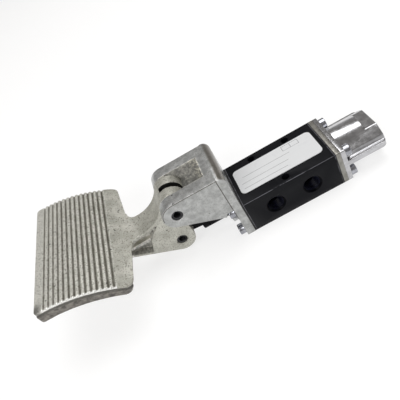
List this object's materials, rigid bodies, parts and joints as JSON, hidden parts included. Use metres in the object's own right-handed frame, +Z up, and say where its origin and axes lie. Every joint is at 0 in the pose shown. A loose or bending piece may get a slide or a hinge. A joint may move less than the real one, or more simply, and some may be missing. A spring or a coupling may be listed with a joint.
{
  "type": "foot pedal air valve",
  "caption": "Foot pedal air valve: a grooved tread pedal on a fork bracket pushes a spool, through a link, into a ported valve body against a return spring in the end cap.",
  "frame": {"origin": "centre of the valve body's mounting face", "axes": "+X along the spool towards the spring cap, -Y out of the two outlet ports, +Z up from the mounting face to the label"},
  "size_m": [0.2543, 0.105, 0.0606],
  "materials": {
    "anodised_black": "black anodised, satin, with bright machined edges",
    "label_face": "plain light label with thin grey rules",
    "gasket_black": "matt black nitrile",
    "cast_grey": "raw sand casting, mottled, dirt in the grooves",
    "cast_bright": "tumbled die casting",
    "zinc_steel": "bright zinc plate",
    "pin_steel": "dark spring steel",
    "oxide_steel": "black oxide",
    "bronze": "sintered bronze",
    "cage_metal": "turned rings",
    "spring_steel": "spring wire"
  },
  "bodies": {
    "housing": {"valve_body": "anodised_black", "label_plate": "label_face", "bracket_gasket": "gasket_black", "pedal_bracket": "cast_grey", "bracket_screws": "zinc_steel", "stem_guide": "bronze", "stem_wiper": "gasket_black", "pivot_pin": "pin_steel", "cage_rings": "cage_metal", "bore_seals": "gasket_black", "cap_gasket": "gasket_black", "spacer_plate": "cast_grey", "end_cap": "cast_bright", "cap_screws": "zinc_steel", "return_spring": "spring_steel"},
    "foot_pedal": {"pedal": "cast_grey", "link_pin_roll": "pin_steel"},
    "link": {"link_bar": "oxide_steel"},
    "spool_stem": {"spool": "oxide_steel", "clevis_pin": "zinc_steel", "spring_seat": "zinc_steel", "seat_screw": "zinc_steel"}
  },
  "joints": [
    {"name": "pedal_hinge", "type": "hinge", "parent": "housing", "child": "foot_pedal", "pos_m": [-0.0759, 0, 0.049], "axis": [0, -1, 0], "range_deg": [0, 10], "stiffness_Nm_per_rad": 4.6, "springref_deg": -14.9},
    {"name": "link_hinge", "type": "hinge", "parent": "foot_pedal", "child": "link", "pos_m": [-0.0861, 0, 0.0168], "axis": [0, -1, 0], "range_deg": [-7.2, 0]},
    {"name": "spool_slide", "type": "slide", "parent": "housing", "child": "spool_stem", "axis": [1, 0, 0], "range_m": [0, 0.0059], "deforming": ["return_spring"]}
  ],
  "couplings": [
    {"joint": "link_hinge", "follows": "pedal_hinge", "ratio": -0.7021},
    {"joint": "spool_slide", "follows": "pedal_hinge", "m_per_rad": 0.03348}
  ]
}
